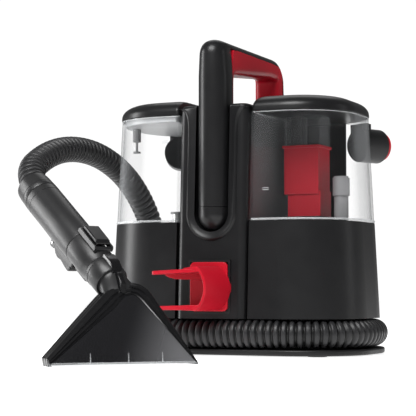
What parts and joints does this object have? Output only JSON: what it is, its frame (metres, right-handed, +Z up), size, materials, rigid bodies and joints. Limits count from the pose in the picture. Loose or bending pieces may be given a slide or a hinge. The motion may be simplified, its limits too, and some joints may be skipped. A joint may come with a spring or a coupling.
{
  "type": "carpet cleaner machine",
  "caption": "Portable spot cleaner with clear clean and dirty water tanks, a carrying handle over a centre column, a hose wound round the base and a wand with a fan nozzle.",
  "frame": {"origin": "on the floor, at the middle of the central rubber foot under the base", "axes": "+Z up, -Y the front with the tool hook, +X towards the dirty-water tank"},
  "size_m": [0.3956, 0.5216, 0.365],
  "materials": {
    "black_satin": "satin",
    "black_gloss": "gloss",
    "deep_red": "satin",
    "clear_plastic": "clear",
    "smoked_plastic": "smoked",
    "soft_rubber": "matte",
    "hose_plastic": "satin",
    "grey_plastic": "satin",
    "white_foam": "matte",
    "clear_tube": "clear",
    "steel": "brushed",
    "green_board": "satin"
  },
  "bodies": {
    "machine": {"base_plate": "black_satin", "hose_core": "black_satin", "clean_side_housing": "black_satin", "dirty_side_housing": "black_satin", "column_housing": "black_satin", "column_rear_cover": "black_satin", "exhaust_grille": "black_satin", "handle_shell": "black_satin", "hook_bezel": "black_satin", "hose_port": "black_satin", "wand_handle": "black_gloss", "wand_conduit": "black_gloss", "handle_grip": "deep_red", "tool_hook": "deep_red", "rubber_feet": "soft_rubber", "motor_mounts": "soft_rubber", "cord_inlet": "soft_rubber", "suction_hose": "hose_plastic", "clean_valve_seat": "grey_plastic", "fan_shroud": "grey_plastic", "water_pump": "grey_plastic", "air_duct": "grey_plastic", "pump_tubes": "clear_tube", "motor_housing": "steel", "housing_screws": "steel", "trigger_hinge_pin": "steel", "circuit_board": "green_board"},
    "clean_tank": {"clean_tank": "clear_plastic", "clean_tank_latch": "black_satin", "clean_valve_collar": "grey_plastic"},
    "clean_lid": {"clean_tank_lid": "black_satin", "clean_tank_gasket": "soft_rubber", "clean_pickup_tube": "grey_plastic"},
    "clean_release": {"clean_release_button": "deep_red"},
    "clean_valve": {"clean_tank_valve": "grey_plastic", "clean_valve_spring": "steel"},
    "dirty_tank": {"dirty_tank": "clear_plastic", "dirty_tank_latch": "black_satin", "float_cage": "deep_red", "separator_duct": "clear_plastic", "standpipe": "grey_plastic", "dirty_port_seal": "soft_rubber"},
    "dirty_lid": {"dirty_tank_lid": "black_satin", "dirty_tank_gasket": "soft_rubber"},
    "dirty_release": {"dirty_release_button": "deep_red"},
    "float": {"float": "white_foam"},
    "power_button": {"power_button": "black_gloss"},
    "fan": {"fan_rotor": "grey_plastic"},
    "cuff": {"hose_cuff": "black_gloss"},
    "trigger": {"spray_trigger": "black_gloss"},
    "latch": {"nozzle_latch": "black_gloss"},
    "nozzle": {"nozzle_body": "black_gloss", "nozzle_window": "smoked_plastic", "brush_strip": "grey_plastic", "spray_tip": "grey_plastic"}
  },
  "joints": [
    {"name": "clean_tank_lift", "type": "slide", "parent": "machine", "child": "clean_tank", "axis": [0, 0, 1], "range_m": [0, 0.15]},
    {"name": "clean_lid_lift", "type": "slide", "parent": "clean_tank", "child": "clean_lid", "axis": [0, 0, 1], "range_m": [0, 0.08]},
    {"name": "clean_release_press", "type": "slide", "parent": "clean_tank", "child": "clean_release", "axis": [0.4226, -0.9063, 0], "range_m": [0, 0.004], "stiffness_N_per_m": 600},
    {"name": "clean_valve_close", "type": "slide", "parent": "clean_tank", "child": "clean_valve", "axis": [0, 0, -1], "range_m": [0, 0.004], "stiffness_N_per_m": 300, "deforming": ["clean_valve_spring"]},
    {"name": "dirty_tank_lift", "type": "slide", "parent": "machine", "child": "dirty_tank", "axis": [0, 0, 1], "range_m": [0, 0.15]},
    {"name": "dirty_lid_lift", "type": "slide", "parent": "dirty_tank", "child": "dirty_lid", "axis": [0, 0, 1], "range_m": [0, 0.08]},
    {"name": "dirty_release_press", "type": "slide", "parent": "dirty_tank", "child": "dirty_release", "axis": [-0.4226, -0.9063, 0], "range_m": [0, 0.004], "stiffness_N_per_m": 600},
    {"name": "float_rise", "type": "slide", "parent": "dirty_tank", "child": "float", "axis": [0, 0, 1], "range_m": [0, 0.045]},
    {"name": "power_press", "type": "slide", "parent": "machine", "child": "power_button", "axis": [0, 1, 0], "range_m": [0, 0.0025], "stiffness_N_per_m": 600},
    {"name": "fan_spin", "type": "hinge", "parent": "machine", "child": "fan", "pos_m": [0, 0.025, 0.172], "axis": [0, 0, 1], "continuous": true},
    {"name": "cuff_swivel", "type": "hinge", "parent": "machine", "child": "cuff", "pos_m": [-0.163, -0.1999, 0.1799], "axis": [0.7333, -0.3822, -0.5623], "continuous": true},
    {"name": "trigger_pull", "type": "hinge", "parent": "machine", "child": "trigger", "pos_m": [-0.12947, -0.21737, 0.1288], "axis": [-0.4622, -0.8868, 0], "range_deg": [0, 8], "stiffness_Nm_per_rad": 0.6},
    {"name": "latch_press", "type": "slide", "parent": "machine", "child": "latch", "axis": [-0.4986, 0.2599, -0.827], "range_m": [0, 0.003], "stiffness_N_per_m": 600},
    {"name": "nozzle_pull_off", "type": "slide", "parent": "machine", "child": "nozzle", "axis": [0.7333, -0.3822, -0.5623], "range_m": [0, 0.02]}
  ]
}
